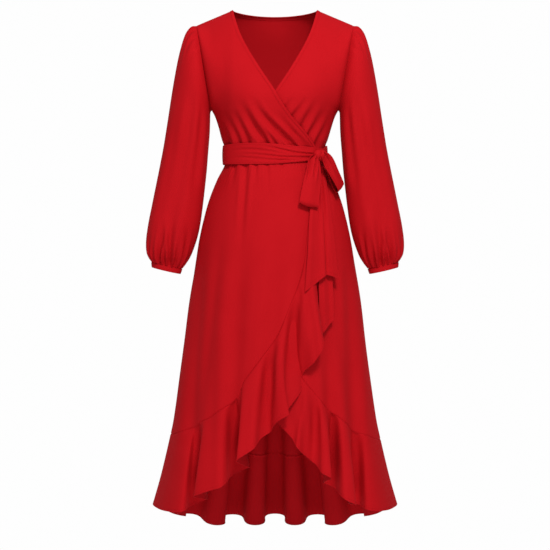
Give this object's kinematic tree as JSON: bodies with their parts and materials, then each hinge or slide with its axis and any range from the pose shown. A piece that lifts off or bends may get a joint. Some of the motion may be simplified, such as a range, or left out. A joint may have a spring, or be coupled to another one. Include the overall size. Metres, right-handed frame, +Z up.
{
  "type": "wrap dress",
  "caption": "Midi wrap dress with a V neck, long sleeves gathered into cuffs, a self sash tied in a bow and a tulip hem with a flounce.",
  "frame": {"origin": "on the centre line, level with the neck points of the shoulder seams, where the wearer's shoulders carry the dress", "axes": "+Z up, -Y towards the front, +X towards the wearer's left; metres"},
  "size_m": [0.6198, 0.489, 1.2901],
  "materials": {
    "crepe": "matt crepe chiffon"
  },
  "bodies": {
    "root": {"bodice_front_right": "crepe", "bodice_front_left": "crepe", "wrap_band_right": "crepe", "wrap_band_left": "crepe", "bodice_back": "crepe", "neck_band_back": "crepe", "sleeve_right": "crepe", "sleeve_left": "crepe", "cuff_right": "crepe", "cuff_left": "crepe", "skirt_front_right": "crepe", "flounce_front_right": "crepe", "skirt_front_left": "crepe", "flounce_front_left": "crepe", "skirt_back": "crepe", "flounce_back": "crepe", "sash_belt": "crepe", "bow_knot": "crepe", "bow_loop_right": "crepe", "bow_loop_left": "crepe", "sash_tail_short": "crepe", "sash_tail_long": "crepe"}
  },
  "joints": []
}
